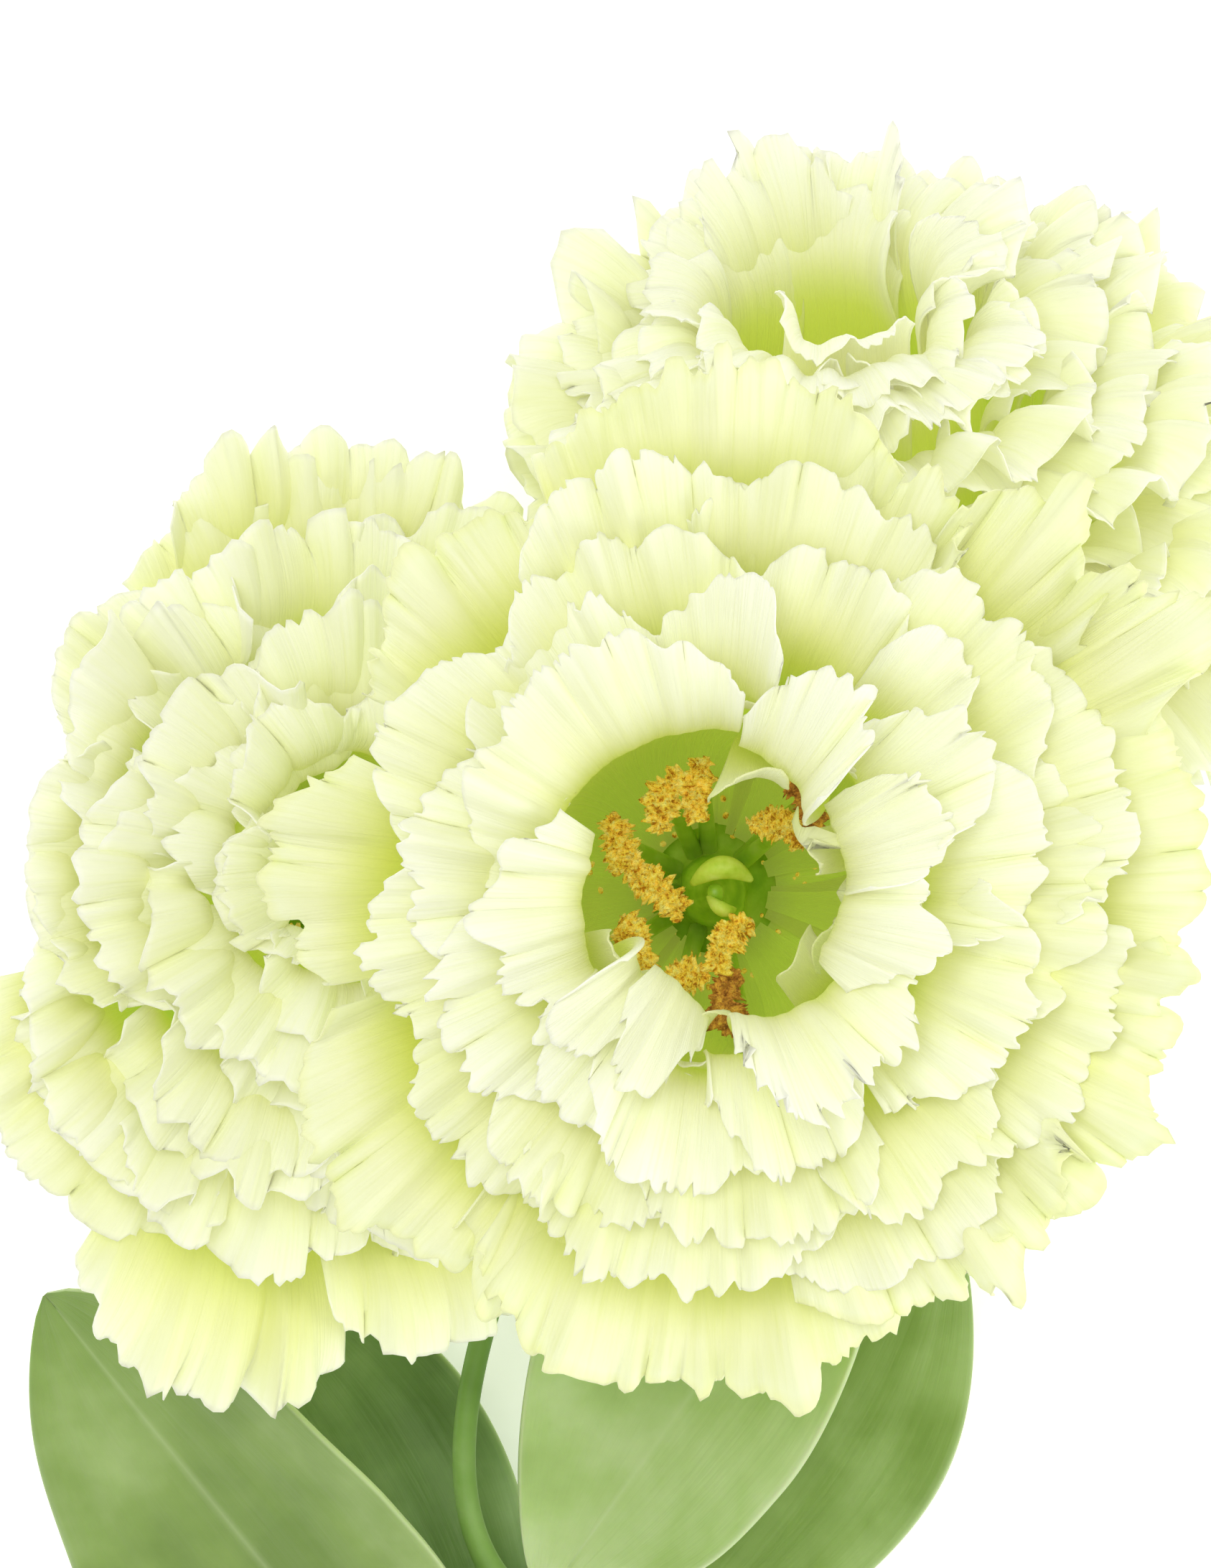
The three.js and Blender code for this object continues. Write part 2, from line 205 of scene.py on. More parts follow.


# Petal tissue: a few layers of watery cells between two waxy skins, white with a little chlorophyll. The
# cells scatter light, so a petal glows where it is lit from behind. A painted glow, emission, stands in
# for light that has come through other petals and lifts their shade. Green gathers in the claw and fades to a
# white edge, and the deepest green at the claw is partly painted shade, the yellow-green bounce light of the
# throat. Fine veins fan out to the fringe, 0.4 mm apart, each a slight furrow.
def petal_tissue(name, stops, blush):
    """The chart's along value runs the stops from claw to edge; the greenest stops, at the claw, are partly
    painted shade. Clouds a centimetre across and the veins tint them with the blush. A matt skin and a trace
    of sheen give the bloom its velvet. The glow is painted light: emission that stands in for light that has
    crossed several petals and fills their shade, yellow-green from the claw and grey-cream at the thin edge."""
    material = new_material(name)
    chart = node(material, "ShaderNodeUVMap", uv_map="chart")
    split = node(material, "ShaderNodeSeparateXYZ", [("Vector", chart, "UV")])
    body = ramp(material, split, "Y", stops)
    place = node(material, "ShaderNodeTexCoord")
    cloud = node(material, "ShaderNodeTexNoise", [("Vector", place, "Object")], Scale=95.0, Detail=2.0)
    share = node(
        material, "ShaderNodeMapRange", [("Value", cloud, "Fac")], From_Min=0.42, From_Max=0.72, To_Max=0.3
    )
    flushed = tinted(material, share, "Result", body, "Color", blush)
    stretch = node(material, "ShaderNodeMapping", [("Vector", chart, "UV")], Scale=(78, 2.2, 1))
    veins = node(material, "ShaderNodeTexNoise", [("Vector", stretch, "Vector")], Scale=1.0, Detail=3.0)
    vein_share = node(
        material, "ShaderNodeMapRange", [("Value", veins, "Fac")], From_Min=0.5, From_Max=0.75, To_Max=0.28
    )
    veined = tinted(material, vein_share, "Result", flushed, "Result", blush)
    furrow = node(material, "ShaderNodeBump", [("Height", veins, "Fac")], Strength=0.55, Distance=0.0003)
    # painted glow: emission standing in for light come through other petals, greenest at the claw
    glow_stops = [(0.0, "#dce85a"), (0.5, "#ccd464"), (0.7, "#c0be9c"), (1.0, "#bcbaa6")]
    glow = ramp(material, split, "Y", glow_stops)
    surface(
        material,
        [("Base Color", veined, "Result"), ("Emission Color", glow, "Color"), ("Normal", furrow, "Normal")],
        Roughness=0.55,
        IOR=1.4,
        Subsurface_Weight=0.3,
        Subsurface_Radius=(1.0, 1.0, 1.0),
        Subsurface_Scale=0.0008,
        Emission_Strength=0.21,
        Sheen_Weight=0.12,
        Sheen_Roughness=0.5,
    )
    return material


# the greenest stops, at the claw, are the claw's own green deepened by painted shade
heart_tissue = petal_tissue(
    "petal tissue, innermost whorls",
    [
        (0.0, "#a2c62c"), (0.22, "#c6e040"), (0.4, "#d6e656"), (0.52, "#dae672"),
        (0.64, "#e8ebb4"), (0.82, "#f0f4d2"), (1.0, "#f7f9e4"),
    ],
    "#dfe58c",
)
middle_tissue = petal_tissue(
    "petal tissue, middle whorls",
    [
        (0.0, "#a2c62c"), (0.22, "#bcd83a"), (0.4, "#c8d84a"), (0.52, "#d2da66"),
        (0.68, "#e4e7a4"), (0.86, "#edf1c6"), (1.0, "#f4f7da"),
    ],
    "#d6de7a",
)
outer_tissue = petal_tissue(
    "petal tissue, outer whorls",
    [
        (0.0, "#98b42c"), (0.3, "#b6c944"), (0.55, "#d6db6c"), (0.78, "#e9ecba"),
        (0.92, "#ecf1c4"), (1.0, "#e8eda8"),
    ],
    "#cdd868",
)

# (radius, height) in millimetres of the four corners of the curve from a petal's foot to its free edge
INNER_BOWL = np.array([(5, 1.6), (24, 8), (1, 39), (21, 35)])
OUTER_BOWL = np.array([(7.5, -0.4), (23, 2), (29, 30), (40, 23)])
BOWL_LENGTH = 46.0  # mm along either curve


def layer_of(tip):
    """The layer of a petal with this tip radius: 0 on the inner bowl, 1 on the outer, straight between."""
    inner, outer = INNER_BOWL[3, 0], OUTER_BOWL[3, 0]
    return (tip - inner) / (outer - inner)


def bowl(layer, tip, along, angle):
    """A point of the nested bowls: a cubic curve in (radius, height), whose four corners slide from the
    inner bowl's to the outer's with layer and whose last corner has the radius tip, turned to angle round
    the axis."""
    rest = 1 - along
    weights = np.stack([rest**3, 3 * rest**2 * along, 3 * rest * along**2, along**3], axis=-1)
    corners = INNER_BOWL + (OUTER_BOWL - INNER_BOWL) * layer[..., None, None]
    corners[..., 3, 0] = tip
    radius, height = np.moveaxis((weights[..., None] * corners).sum(axis=-2), -1, 0)
    return np.stack([radius * np.cos(angle), radius * np.sin(angle), height], axis=-1)


def bumps(u, places, heights, widths):
    """The sum of single bumps at the given places across the petal. Each is its height times a bell of its
    width: e to the minus square of the distance in widths."""
    total = np.zeros_like(u)
    for place, height, wide in zip(places, heights, widths):
        total += height * np.exp(-(np.abs((u - place) / wide) ** 2))
    return total


def petal_grid(rng, angle, tip, half, size, frill=1.0, reach=1.0, lift=0.0, fold=0.0, layer=None):
    """A petal's middle surface. Across it the angle about the axis runs to half on either side, narrowing to
    the claw; along it the bowl's curve runs to reach, less at the rounded sides, less a few notches between
    lobes and a fringe of uneven teeth. Along the normal it is pushed in and out by broad folds, single bumps
    and sine crimps 7.6, 3.7 and 1.9 mm long that grow towards the edge, each fading out where size, the rows
    and the millimetres between columns, is too coarse to draw it. lift raises the free end, and fold bends
    the petal lengthwise like a gutter, both in millimetres."""
    rows, step = size
    width = 2 * tip * half  # of the free edge, mm
    columns = int(np.clip(width / step, 36, 150))
    u, v = np.meshgrid(np.linspace(-1, 1, columns), 1 - np.linspace(1, 0, rows) ** 1.4)
    if layer is None:
        layer = layer_of(tip)
    count = max(2, int(width / 8))
    places = rng.uniform(-0.95, 0.95, count)
    depths = rng.uniform(0.2, 1.6, count)
    notches = bumps(u, places, depths, rng.uniform(0.5, 1.6, count) * 2 / width)
    teeth = int(width / max(0.7, 2.2 * step))
    tooth_depth = rng.uniform(0.1, 1.0, teeth) * (np.arange(teeth) % 2) * np.interp(
        np.linspace(-1, 1, teeth), np.linspace(-1, 1, 7), rng.uniform(0.3, 1.2, 7)
    )
    fringe = np.interp(u, np.sort(rng.uniform(-1, 1, teeth)), tooth_depth) * 1.5
    along = v * reach * (1 - 0.14 * np.abs(u) ** 3) - (fringe * v**26 + notches * v**12) / BOWL_LENGTH
    spread = half * mix(0.4, 1, ease(v * 1.3))
    slip = np.clip(layer, -0.4, 1.05) + 0.07 * u * v
    base = bowl(slip, tip, along, angle + spread * u)
    normal = surface_normals(base)
    sideways = unit(np.gradient(base, axis=1) + 1e-12)
    strength = np.interp(u, np.linspace(-1, 1, 8), rng.uniform(0.25, 1.35, 8))
    warp = u + np.interp(u, np.linspace(-1, 1, 9), rng.uniform(-0.09, 0.09, 9))
    places = rng.uniform(-1, 1, count)
    heights = rng.uniform(-3.3, 3.3, count)
    push = bumps(u, places, heights, rng.uniform(0.9, 2.8, count) * 2 / width) * v**6
    slide = np.zeros_like(u)
    for wave, height, power in ((7.6, 1.0, 6.0), (3.7, 0.68, 9.0), (1.9, 0.36, 13.0)):
        height *= ease((wave / step - 3) / 3)
        phase = np.pi * width / wave * warp + rng.uniform(0, 2 * np.pi) + rng.uniform(-3, 3) * v
        push += height * strength * v**power * np.sin(phase)
        slide += 0.35 * height * strength * v**power * np.cos(phase)
    sag = rng.uniform(-1, 1, 3)
    broad = v**4 * (2.2 * sag[0] * u + 2.2 * sag[1] * (u**2 - 0.3) + sag[2])
    ribs = 0.04 * np.sin(np.pi * width / 2.1 * u) * v * (1 - 0.4 * v)
    moved = base + normal * (frill * push + broad + ribs + fold * v**2 * (1 - u**2))[..., None]
    moved += sideways * (frill * slide)[..., None]
    moved[..., 2] += lift * v**2
    return moved


FINE = (30, 0.2)  # rows of a petal on the front bloom's face, and mm between its columns
PLAIN = (21, 0.4)  # the same for a petal deep in its throat or on a bloom beneath


def add_petal(bloom, number, tissue, size, angle, tip, half, **shape):
    """Builds one petal of a bloom and notes it, so that it can stand for the nearest solid petal."""
    rng = np.random.RandomState(1000 * len(bloom.name) + number)
    points = petal_grid(rng, np.radians(angle), tip, np.radians(half), size, **shape)
    thickness = mix(0.45, 0.13, np.linspace(0, 1, size[0]))[:, None, None] / 1000
    part = tissue_sheet(bloom.place(points), thickness)
    piece = tissue_object(f"{bloom.name}_petal_{number:02d}", [part], tissue)
    bloom.petals.append((piece, part[0].mean(axis=0)))


def stand_for_petals(bloom):
    """Each solid petal of the bloom is replaced by the nearest modelled petal not yet taken."""
    free = list(bloom.petals)
    for name in sorted(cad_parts):
        if name.startswith(bloom.name) and "_petal_" in name:
            low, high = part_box(name)
            middle = (np.array(low) + np.array(high)) / 2
            nearest = min(range(len(free)), key=lambda k: np.linalg.norm(free[k][1] - middle))
            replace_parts(free.pop(nearest)[0], name)


# Front bloom: wide open, face to the sky. Its innermost petals ring the throat, one broad pale one at the
# upper left, and narrow petal-like slips stand between them. The lists give the angle, tip radius, half
# width, lift and frill of each petal, from the throat outwards.
front_heart = [
    (131, 22.5, 48, 0.4, 0.9), (187, 19.5, 33, 0, 1.1), (222, 17, 18, -0.5, 0.8), (246, 16.5, 20, -1, 0.9),
    (311, 19.5, 38, 0.8, 1.0), (350, 18, 22, -1.0, 1.2), (21, 19, 20, -0.5, 1.3), (60, 19.5, 23, 0.5, 1.2),
    (89, 25.5, 15, 1.5, 0.9), (126, 26.5, 25, -1.0, 1.3), (172, 25.2, 27, 0, 1.3), (208, 24.5, 25, 0, 1.2),
    (46, 27.5, 11, 2.2, 0.6), (262, 23, 32, 0.5, 1.0), (12, 25.5, 25, 0.5, 1.3), (336, 26, 27, 0, 1.2),
    (30, 23, 20, 0, 1.4), (288, 22, 24, -1, 1.2), (232, 21, 22, -1.2, 1.2),
]
front_middle = [
    (68, 28.5, 18, 0, 1.2), (108, 29.5, 25, 0, 1.2), (150, 29, 22, -1, 1.2), (240, 27.5, 26, 0, 1.1),
    (277, 27.5, 27, 0.5, 1.1), (309, 29.5, 20, 0, 0.8), (2, 30, 28, 0, 1.2), (42, 31, 22, 0, 1.1),
    (192, 28, 22, -1, 1.2), (72, 33.5, 24, 0, 1.1), (100, 34, 22, 0, 1.2), (20, 33, 25, 0, 1.2),
    (338, 33, 26, -0.5, 1.1), (262, 31, 30, 0, 1.3), (298, 33.5, 21, -0.5, 0.7), (226, 30, 24, -2, 1.0),
]
front_outer = [
    (90, 40.5, 24, 0.5, 1.7), (129, 35.5, 21, -1, 1.8), (177, 35.5, 17, -4, 1.8), (219, 37.5, 23, -4, 1.5),
    (266, 39, 31, -1, 1.3), (303, 37, 22, 0, 1.4), (331, 38, 26, 0, 1.4), (5, 38, 28, 0, 1.4),
    (66, 37, 14, 0, 1.7), (245, 37, 14, -2, 1.9),
]
front_whorls = [(heart_tissue, front_heart), (middle_tissue, front_middle), (outer_tissue, front_outer)]
count = 0
for tissue, petals in front_whorls:
    for angle, tip, half, lift, frill in petals:
        count += 1
        add_petal(front, count, tissue, FINE, angle, tip, half, lift=lift, frill=frill)
# two narrow outer petals on the upper right bend lengthwise like gutters, and slips stand inside the throat
add_petal(front, count + 1, outer_tissue, FINE, 46, 40, 12, lift=1, fold=-3.5, frill=2.3, layer=0.9)
add_petal(front, count + 2, outer_tissue, FINE, 31, 41.5, 10, lift=1.5, fold=-3.5, frill=2.3, layer=0.96)
slips = [
    # angle, tip radius, half width, and the share of the bowl's curve that it reaches
    (206, 15.5, 10, 0.8), (232, 15, 11, 0.82), (254, 15, 8, 0.8), (318, 6, 13, 0.68), (338, 5.5, 15, 0.62),
    (358, 4, 14, 0.54), (20, 12, 9, 0.78), (74, 15, 10, 0.83),
]
for number, (angle, tip, half, reach) in enumerate(slips, start=count + 3):
    add_petal(front, number, outer_tissue, PLAIN, angle, tip, half, frill=0.25, reach=reach, layer=-0.06)
# wide claws behind the innermost whorl close the throat's wall
for k in range(8):
    layer = 0.12 + 0.08 * (k % 2)
    add_petal(front, 90 + k, heart_tissue, PLAIN, 45 * k + 20, 22, 52, frill=0.3, reach=0.72, layer=layer)
stand_for_petals(front)


# Left and back blooms: the same flower, partly under the front one. Petals crowd into a frilly dome, long
# where they hang free and short where they are pressed in.
def add_whorls(bloom, whorls, outline, room):
    """Fills a bloom with whorls of (count, first angle, tip radius, tissue). Around the bloom, with straight
    steps between the angles given, outline is the share of its full length that the longest petal has, and
    room the most millimetres that any has. A petal with too little room for its length has not grown."""
    bearings, shares = np.array(sorted(outline.items())).T
    openings, reaches = np.array(sorted(room.items())).T
    rng = np.random.RandomState(len(bloom.name))
    number = 0
    for petals, first, tip, tissue in whorls:
        for k in range(petals):
            number += 1
            angle = first + 360 / petals * k + rng.uniform(-13, 13)
            half = 360 / petals * rng.uniform(0.42, 0.75)
            share = np.interp(angle % 360, bearings, shares, period=360)
            grown = tip * mix(1, share, (tip - 10) / 30) + rng.uniform(-2, 2)
            lift = rng.uniform(-3, 3)
            most = np.interp(angle % 360, openings, reaches, period=360)
            if most < 0.45 * tip:
                continue
            grown = min(grown, most)
            layer = layer_of(mix(tip, grown, 0.7))
            layer = max(layer, layer / 3)  # those inside the inner bowl stand closer together
            frill = mix(1.0, 1.8, tip / 42)
            add_petal(bloom, number, tissue, PLAIN, angle, grown, half, frill=frill, lift=lift, layer=layer)


left_whorls = [
    (5, 60, 13.5, heart_tissue),
    (6, 12, 17, heart_tissue),
    (6, 40, 20.5, heart_tissue),
    (7, 10, 24, heart_tissue),
    (7, 33, 27.5, heart_tissue),
    (8, 10, 31, heart_tissue),
    (8, 33, 34.5, heart_tissue),
    (8, 10, 38, middle_tissue),
    (9, 25, 41.5, middle_tissue),
]
left_outline = {
    0: 0.72, 60: 0.8, 90: 0.86, 115: 0.8, 135: 0.74, 180: 0.74, 225: 0.88, 255: 1.05, 280: 1.12, 320: 0.84,
}
left_room = {0: 11, 38: 13, 62: 36, 90: 60, 286: 60, 300: 38, 322: 13}  # the front bloom stands at its right
add_whorls(left, left_whorls, left_outline, left_room)
stand_for_petals(left)
back_whorls = [
    (6, 20, 19, heart_tissue),
    (7, 50, 22.5, heart_tissue),
    (7, 15, 26, heart_tissue),
    (8, 40, 29.5, heart_tissue),
    (8, 22, 33, heart_tissue),
    (8, 50, 37, middle_tissue),
]
back_outline = {0: 1.0, 60: 0.7, 90: 0.52, 135: 0.58, 180: 0.72, 225: 0.83, 270: 1.0, 315: 1.12}
back_room = {0: 50}  # free all round
add_whorls(back, back_whorls, back_outline, back_room)
# the angle, tip radius, half width and lift of each petal that leans over the throat, and of the long ones
# that hang at the lower right
near = [
    (240, 15, 38, 4), (278, 13, 40, 5), (314, 16, 32, 3), (205, 17, 28, 2), (92, 16.5, 46, -1),
    (256, 18.5, 34, 4), (292, 18, 34, 4), (270, 21.5, 34, 2), (322, 21, 30, 2), (300, 21.8, 30, 1),
    (176, 15.5, 30, 2.5), (4, 15.5, 30, 2.5),
]
hung = [
    (290, 43, 22, -8), (306, 45, 22, -11), (324, 46, 22, -12), (340, 45, 22, -10), (358, 43, 22, -6),
    (300, 36, 24, -4), (318, 37, 24, -6), (336, 37, 24, -6), (354, 36, 24, -4), (308, 40, 22, -8),
    (328, 41, 22, -9),
]
first = len(back.petals) + 1
for number, (angle, tip, half, lift) in enumerate(near, start=first):
    add_petal(back, number, heart_tissue, PLAIN, angle, tip, half, frill=0.9, lift=lift, layer=-0.08)
for number, (angle, tip, half, lift) in enumerate(hung, start=first + len(near)):
    layer = layer_of(tip - 3)
    add_petal(back, number, middle_tissue, PLAIN, angle, tip, half, frill=1.5, lift=lift, layer=layer)
stand_for_petals(back)


# Pistils. The ovary is a firm waxy green cone with a furrow down each side, drawn out into a short style
# with a two-lipped stigma, yellow-green and velvety where pollen sticks.
def grown_green(name, stops, scale, roughness, bump, coat=0.0):
    """Plant skin: a mottle of greens on a noise of the given scale per metre, with cells 0.4 mm across as
    bump. A coat of wax, where there is one, gives the eye a soft highlight."""
    material = new_material(name)
    place = node(material, "ShaderNodeTexCoord")
    mottle = node(material, "ShaderNodeTexNoise", [("Vector", place, "Object")], Scale=scale, Detail=4.0)
    body = ramp(material, mottle, "Fac", stops)
    cells = node(material, "ShaderNodeTexNoise", [("Vector", place, "Object")], Scale=2600.0, Detail=1.0)
    grain = node(material, "ShaderNodeBump", [("Height", cells, "Fac")], Strength=bump, Distance=0.0001)
    surface(
        material,
        [("Base Color", body, "Color"), ("Normal", grain, "Normal")],
        Roughness=roughness,
        IOR=1.4,
        Subsurface_Weight=0.25,
        Subsurface_Radius=(0.5, 1.0, 0.25),
        Subsurface_Scale=0.0012,
        Coat_Weight=coat,
        Coat_Roughness=0.35,
    )
    return material


def tube(path, radius, sides, across=(1.0, 0.05, 0.02)):
    """A closed tube: a ring of the given radii round each point of a path, square to it, and a pole at each
    end. No stretch of the path may run along the direction across."""
    forward = unit(np.gradient(path, axis=0))
    side = unit(np.cross(forward, np.array(across, float)))
    other = np.cross(forward, side)
    angle = np.linspace(0, 2 * np.pi, sides, endpoint=False)
    radius = np.broadcast_to(np.asarray(radius, float).reshape(len(path), -1), (len(path), sides))
    ring = np.cos(angle)[None, :, None] * side[:, None] + np.sin(angle)[None, :, None] * other[:, None]
    return close_rings(path[:, None] + ring * radius[..., None])


def close_rings(rings):
    """Quads round a stack of rings, with the end rings drawn in to a point each, as closed as a finger."""
    first = np.repeat(rings[:1].mean(axis=1, keepdims=True), rings.shape[1], axis=1)
    last = np.repeat(rings[-1:].mean(axis=1, keepdims=True), rings.shape[1], axis=1)
    near_first = mix(first, rings[:1], 0.02)
    near_last = mix(last, rings[-1:], 0.02)
    rings = np.concatenate([near_first, rings, near_last])
    rows, columns = rings.shape[:2]
    number = np.arange(rows * columns).reshape(rows, columns)
    right = np.roll(number, -1, axis=1)
    sides = np.stack([number[:-1], right[:-1], right[1:], number[1:]], axis=-1).reshape(-1, 4)
    poles = []
    for ring, pole, flip in ((number[0], rows * columns, True), (number[-1], rows * columns + 1, False)):
        starts = ring[0::2]
        middles = ring[1::2]
        ends = np.roll(starts, -1)
        cap = np.stack([starts, middles, ends, np.full(len(starts), pole)], axis=1)
        poles.append(cap[:, ::-1] if flip else cap)
    vertices = np.concatenate([rings.reshape(-1, 3), first[0, :1], last[0, :1]])
    faces = np.concatenate([sides, *poles])
    u, v = np.meshgrid(np.linspace(0, 1, columns), np.linspace(0, 1, rows))
    chart = np.concatenate([np.stack([u.ravel(), v.ravel()], axis=1), [[0.5, 0], [0.5, 1]]])
    return vertices, faces, chart


ovary_skin = grown_green(
    "ovary, waxy green", [(0.35, "#88b622"), (0.5, "#a0ca32"), (0.68, "#bcdc54")], 420, 0.38, 0.15, coat=0.2
)
stigma_skin = grown_green(
    "stigma, velvety yellow-green", [(0.35, "#bcd848"), (0.5, "#cfe560"), (0.7, "#e0f088")], 700, 0.5, 0.3
)


def turned(outline, sides, furrow=0.0):
    """A body turned about the bloom's axis from (radius, height) points joined by a smooth curve through
    them, with two opposite furrows of the given share of the radius."""
    outline = np.array(outline, float)
    steps = np.linspace(0, len(outline) - 1, 6 * len(outline))
    radius = np.interp(steps, np.arange(len(outline)), outline[:, 0])
    height = np.interp(steps, np.arange(len(outline)), outline[:, 1])
    soften = np.array([0.25, 0.5, 0.25])
    for _ in range(3):
        radius[1:-1] = np.convolve(radius, soften, "valid")
        height[1:-1] = np.convolve(height, soften, "valid")
    angle = np.linspace(0, 2 * np.pi, sides, endpoint=False)
    swell = 1 - furrow * np.exp(-((np.abs(np.cos(angle)) - 1) ** 2) / 0.01)
    reach = radius[:, None] * swell[None, :]
    return np.stack(
        [reach * np.cos(angle), reach * np.sin(angle), np.repeat(height[:, None], sides, axis=1)], axis=-1
    )


# (radius, height) up the ovary and style, and (start, end, rise, height, radius) of each lip, a bowed bar
ovary_outline = [
    (6.0, 0.2), (4.8, 0.9), (3.4, 1.3), (2.7, 2.4), (3.0, 4.5), (2.7, 7), (1.5, 9.2), (0.8, 11), (0.7, 13.2),
]
stigma_lips = [
    ((-1.9, 0.7), (2.9, 1.0), 1.2, 13.8, 0.95),
    ((-0.6, -0.3), (1.6, -1.3), -0.5, 12.9, 0.6),
]
for bloom in (front, left, back):
    ovary = turned(ovary_outline, 40, 0.1)
    lips = []
    for start, end, rise, high, thick in stigma_lips:
        bend = np.linspace(0, 1, 30)
        swept = np.sin(np.pi * bend)
        x = mix(start[0], end[0], bend)
        y = mix(start[1], end[1], bend) + rise * swept
        arch = bloom.place(np.stack([x, y, high + swept], axis=1))
        radius = 0.001 * thick * np.sin(np.pi * mix(0.06, 0.95, bend)) ** 0.8
        lips.append(tube(arch, radius, 16, bloom.axis))
    body = tissue_object(f"{bloom.name}_ovary", [close_rings(bloom.place(ovary))], ovary_skin)
    tissue_object(f"{bloom.name}_stigma", lips, stigma_skin)
    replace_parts(body, f"{bloom.name}_pistil")


# Stamens. A smooth green thread stands beside the ovary and leans out, and on it hangs the anther: a pollen
# sac that has split, dried and curled up, a crumbly bar of grains, orange-yellow, with painted shade in its
# crevices and a painted highlight on its crests.
def crumble(points, rng, height, scales):
    """Noise for lumpy bodies: for each scale in millimetres, products of sines in three random directions."""
    total = np.zeros(points.shape[:-1])
    for scale, share in scales:
        for _ in range(3):
            ways = rng.normal(size=(3, 3)) * 2 * np.pi / scale / 1.7
            phases = rng.uniform(0, 2 * np.pi, 3)
            waves = np.sin(points @ ways.T + phases)
            total += share * waves.prod(axis=-1)
    return height * total


filament_skin = grown_green(
    "filament, smooth green", [(0.3, "#a9cf3a"), (0.5, "#bcdc52"), (0.7, "#cfe676")], 300, 0.4, 0.1, coat=0.15
)


def pollen_crust(name, crevice_shade, body, crest_highlight):
    """Dried pollen: grains caked into a crust, matt, with painted shade in the crevices and a painted
    highlight on the crests, both on the same noise as the lumps. Real grains are 0.03 mm and are drawn as
    clots of 0.2.
    A faint painted glow of its own colour, emission, keeps it bright in the shaded throat."""
    material = new_material(name)
    place = node(material, "ShaderNodeTexCoord")
    clumps = node(
        material, "ShaderNodeTexNoise", [("Vector", place, "Object")], Scale=1500.0, Detail=5.0, Roughness=0.7
    )
    # painted shade where the lumps are low and a painted highlight where they are high, on the bump's own
    # noise
    colour = ramp(material, clumps, "Fac", [(0.38, crevice_shade), (0.48, body), (0.64, crest_highlight)])
    grains = node(material, "ShaderNodeTexVoronoi", [("Vector", place, "Object")], Scale=5200.0)
    crust = node(material, "ShaderNodeBump", [("Height", grains, "Distance")], Strength=0.7, Distance=0.0002)
    heights = [("Height", clumps, "Fac"), ("Normal", crust, "Normal")]
    lumps = node(material, "ShaderNodeBump", heights, Strength=0.8, Distance=0.0006)
    # the emission is a painted glow that keeps the crust bright in the shaded throat
    surface(
        material,
        [("Base Color", colour, "Color"), ("Emission Color", colour, "Color"), ("Normal", lumps, "Normal")],
        Roughness=0.85,
        IOR=1.45,
        Emission_Strength=0.24,
    )
    return material


# each crust: painted shade for its crevices, its own colour, and a painted highlight for its crests
ripe_crust = pollen_crust("pollen crust, ripe", "#b8780c", "#ffd640", "#fff080")
spent_crust = pollen_crust("pollen crust, spent and browned", "#8a5a1c", "#c08434", "#f5c04a")


def add_stamen(bloom, number, angle, reach, heading, crust, height=15.0, length=4.8, bend=0.5):
    """A thread from the receptacle to the anther, which is a bent bar of that length with its middle at reach
    from the axis, pointing along heading. Its radius swells and its skin crumbles."""
    rng = np.random.RandomState(70 + number)
    angle, heading = np.radians([angle, heading])
    out = np.array([np.cos(angle), np.sin(angle), 0])
    along = np.array([np.cos(heading), np.sin(heading), 0])
    across = np.array([-along[1], along[0], 0])
    middle = out * reach + np.array([0, 0, height])
    t = np.linspace(0, 1, 28)[:, None]
    start = out * 3.0 + np.array([0, 0, 0.6])
    knee = out * mix(3.0, reach, 0.75) + np.array([0, 0, 0.45 * height])
    end = middle - np.array([0, 0, 0.5])
    thread = (1 - t) ** 2 * start + 2 * t * (1 - t) * knee + t**2 * end
    thread_radius = 0.001 * mix(0.8, 0.48, t[:, 0])
    s = np.linspace(-1, 1, 56)[:, None]
    droop = np.array([0, 0, -1.0]) * 0.9 * s**2
    bar = middle + along * s * length / 2 + across * bend * (1 - s**2) * 1.6 + droop + np.array([0, 0, 0.5])
    swell = np.sqrt(np.clip(1 - s[:, 0] ** 4, 0.02, 1)) * (1.0 + 0.2 * np.sin(5 * s[:, 0] + number))
    sides = 40
    vertices, faces, chart = tube(bar, swell, sides, (0, 0, 1))
    centre = np.concatenate([bar[:1], bar, bar[-1:]])
    hub = np.concatenate([np.repeat(centre, sides, axis=0), bar[:1], bar[-1:]])
    lumps = crumble(vertices, rng, 0.34, [(1.5, 1.2), (0.75, 0.9), (0.36, 0.7)])
    vertices = vertices + unit(vertices - hub + 1e-9) * lumps[:, None]
    sideways = bloom.place(across) - bloom.place(0 * across)
    filament = tube(bloom.place(thread), thread_radius, 12, sideways)
    tissue_object(f"{bloom.name}_filament_{number}", [filament], filament_skin)
    anther = (bloom.place(vertices), faces, chart)
    return tissue_object(f"{bloom.name}_anther_{number}", [anther], crust)


